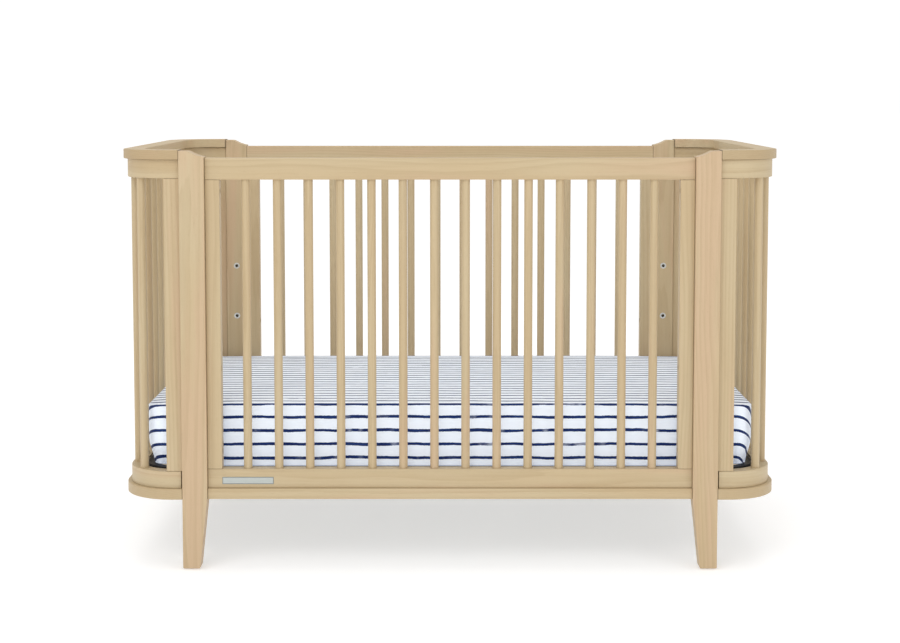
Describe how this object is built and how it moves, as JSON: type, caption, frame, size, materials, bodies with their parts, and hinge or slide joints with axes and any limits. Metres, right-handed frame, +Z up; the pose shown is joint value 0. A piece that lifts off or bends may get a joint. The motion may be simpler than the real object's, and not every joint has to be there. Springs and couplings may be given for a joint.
{
  "type": "baby crib",
  "caption": "Full-size baby crib with bowed slatted ends, upright spindles on the long sides, an adjustable mattress support and a mattress in a striped fitted sheet.",
  "frame": {"origin": "on the floor under the middle of the crib", "axes": "+X along the crib's length towards its right end as seen from the front, +Y from the front panel to the rear panel, +Z up"},
  "size_m": [1.391, 0.789, 0.886],
  "materials": {
    "oak": "satin clear lacquer over natural wood",
    "black_steel": "semi-matt powder coat",
    "bolt_steel": "black oxide",
    "zinc_steel": "bright zinc",
    "nylon": "matt",
    "plate_metal": "satin",
    "mattress_cover": "quilted knit",
    "sheet_cotton": "woven cotton with navy stripes"
  },
  "bodies": {
    "crib": {"badge_plate": "plate_metal", "end_dowels": "oak", "end_left_bottom_band": "oak", "end_left_bottom_cap": "oak", "end_left_slats": "oak", "end_left_stile_front": "oak", "end_left_stile_rear": "oak", "end_left_top_band": "oak", "end_left_top_cap": "oak", "end_right_bottom_band": "oak", "end_right_bottom_cap": "oak", "end_right_slats": "oak", "end_right_stile_front": "oak", "end_right_stile_rear": "oak", "end_right_top_band": "oak", "end_right_top_cap": "oak", "foot_glides": "nylon", "front_base_strip": "oak", "front_bottom_rail": "oak", "front_spindle_01": "oak", "front_spindle_02": "oak", "front_spindle_03": "oak", "front_spindle_04": "oak", "front_spindle_05": "oak", "front_spindle_06": "oak", "front_spindle_07": "oak", "front_spindle_08": "oak", "front_spindle_09": "oak", "front_spindle_10": "oak", "front_spindle_11": "oak", "front_spindle_12": "oak", "front_spindle_13": "oak", "front_spindle_14": "oak", "front_stile_left": "oak", "front_stile_right": "oak", "front_top_rail": "oak", "leg_front_left": "oak", "leg_front_right": "oak", "leg_rear_left": "oak", "leg_rear_right": "oak", "panel_bolts": "bolt_steel", "panel_inserts": "zinc_steel", "rail_dowels": "oak", "rear_base_strip": "oak", "rear_bottom_rail": "oak", "rear_spindles": "oak", "rear_stile_left": "oak", "rear_stile_right": "oak", "rear_top_rail": "oak", "support_inserts": "zinc_steel"},
    "mattress_support": {"support_frame": "black_steel", "support_slats": "black_steel", "support_bolts": "bolt_steel", "support_bracket_front_left": "black_steel", "support_bracket_front_right": "black_steel", "support_bracket_rear_left": "black_steel", "support_bracket_rear_right": "black_steel"},
    "mattress": {"mattress": "mattress_cover", "fitted_sheet": "sheet_cotton"}
  },
  "joints": [
    {"name": "support_height", "type": "slide", "parent": "crib", "child": "mattress_support", "axis": [0, 0, 1], "range_m": [0, 0.254]},
    {"name": "mattress_lift", "type": "slide", "parent": "mattress_support", "child": "mattress", "axis": [0, 0, 1], "range_m": [0, 0.48]}
  ]
}
